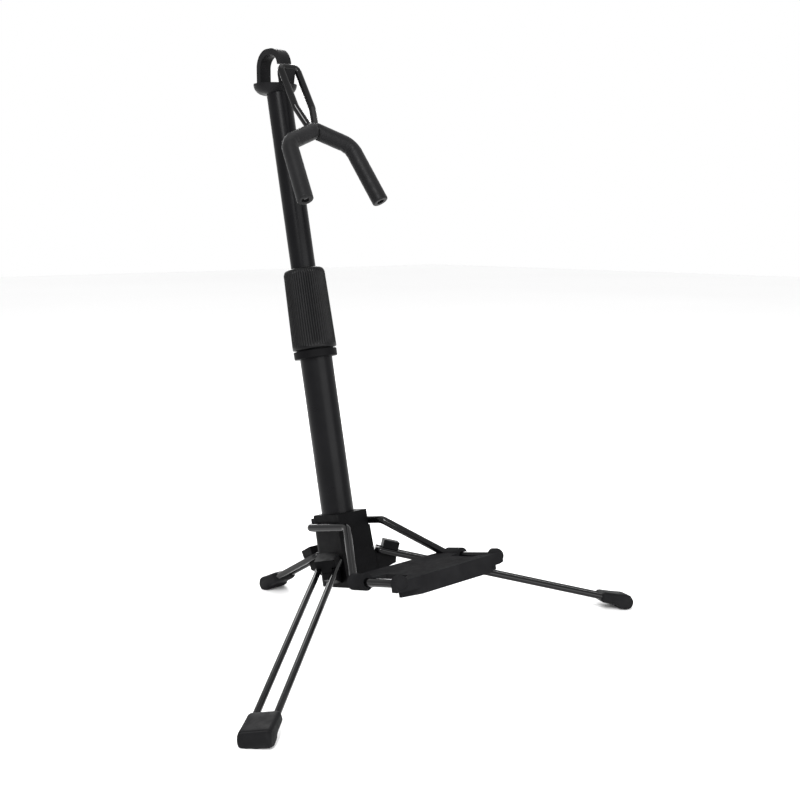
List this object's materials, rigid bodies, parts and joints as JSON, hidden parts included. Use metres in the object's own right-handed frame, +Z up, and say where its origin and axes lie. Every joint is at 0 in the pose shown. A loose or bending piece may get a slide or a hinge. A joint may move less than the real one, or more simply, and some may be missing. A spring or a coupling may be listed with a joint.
{
  "type": "saxophone stand",
  "caption": "Folding instrument stand with a leaning telescopic post, wire tripod legs, a fold-up rubber rest plate and a padded hanging yoke.",
  "frame": {"origin": "middle of the bounding box on the floor, under the leaning post", "axes": "+Z up, -Y towards the player's side where the instrument rests, +X across to the stand's left as seen from behind"},
  "size_m": [0.3772, 0.245, 0.4332],
  "materials": {
    "tube_paint": "satin black powder coat on steel tube",
    "wire_paint": "gloss black enamel on steel wire",
    "moulded_black": "fine textured black moulding",
    "grip_plastic": "ribbed black moulding",
    "head_plastic": "fine textured black moulding",
    "zinc": "bright zinc plate",
    "foam": "closed-cell foam tube with a smooth skin",
    "plate_rubber": "matt moulded rubber",
    "foot_rubber": "matt moulded rubber"
  },
  "bodies": {
    "base": {"base_block": "moulded_black", "lower_tube": "tube_paint", "tube_plug": "moulded_black", "base_screw": "zinc", "hinge_keeper": "moulded_black", "keeper_screws": "zinc", "clutch_ring": "moulded_black", "clutch_sleeve": "moulded_black", "clutch_collet": "moulded_black"},
    "grip": {"clutch_grip": "grip_plastic"},
    "slider": {"guide_bushing": "moulded_black"},
    "upper": {"upper_tube": "tube_paint", "end_plug": "moulded_black", "stop_ring": "zinc", "head_plug": "moulded_black", "head_hook": "head_plastic", "head_screw": "zinc"},
    "yoke": {"yoke_wire": "wire_paint", "foam_sleeve_left": "foam", "foam_sleeve_right": "foam"},
    "rest": {"rest_frame": "wire_paint", "rest_plate": "plate_rubber"},
    "front_left": {"front_left_leg": "wire_paint", "front_left_foot": "foot_rubber"},
    "front_right": {"front_right_leg": "wire_paint", "front_right_foot": "foot_rubber"},
    "rear": {"rear_leg": "wire_paint", "rear_foot": "foot_rubber"}
  },
  "joints": [
    {"name": "height_slide", "type": "slide", "parent": "base", "child": "slider", "axis": [0, 0.2079, 0.9781], "range_m": [-0.06, 0.07]},
    {"name": "tube_swivel", "type": "hinge", "parent": "slider", "child": "upper", "pos_m": [0, 0.07486, 0.29344], "axis": [0, 0.2079, 0.9781], "range_deg": [-180, 180]},
    {"name": "grip_twist", "type": "hinge", "parent": "base", "child": "grip", "pos_m": [0, 0.06031, 0.22497], "axis": [0, 0.2079, 0.9781], "range_deg": [0, 120]},
    {"name": "yoke_swing", "type": "hinge", "parent": "upper", "child": "yoke", "pos_m": [0, 0.08472, 0.41758], "axis": [-1, 0, 0], "range_deg": [-20, 80]},
    {"name": "rest_fold", "type": "hinge", "parent": "base", "child": "rest", "pos_m": [0, 0.04411, 0.06893], "axis": [-1, 0, 0], "range_deg": [0, 88]},
    {"name": "front_left_fold", "type": "hinge", "parent": "base", "child": "front_left", "pos_m": [-0.02295, 0.00999, 0.05196], "axis": [0.5721, -0.8022, 0.1705], "range_deg": [0, 69]},
    {"name": "front_right_fold", "type": "hinge", "parent": "base", "child": "front_right", "pos_m": [0.02295, 0.00999, 0.05196], "axis": [0.5721, 0.8022, -0.1705], "range_deg": [0, 69]},
    {"name": "rear_fold", "type": "hinge", "parent": "base", "child": "rear", "pos_m": [0, 0.04887, 0.04369], "axis": [-1, 0, 0], "range_deg": [0, 72]}
  ]
}
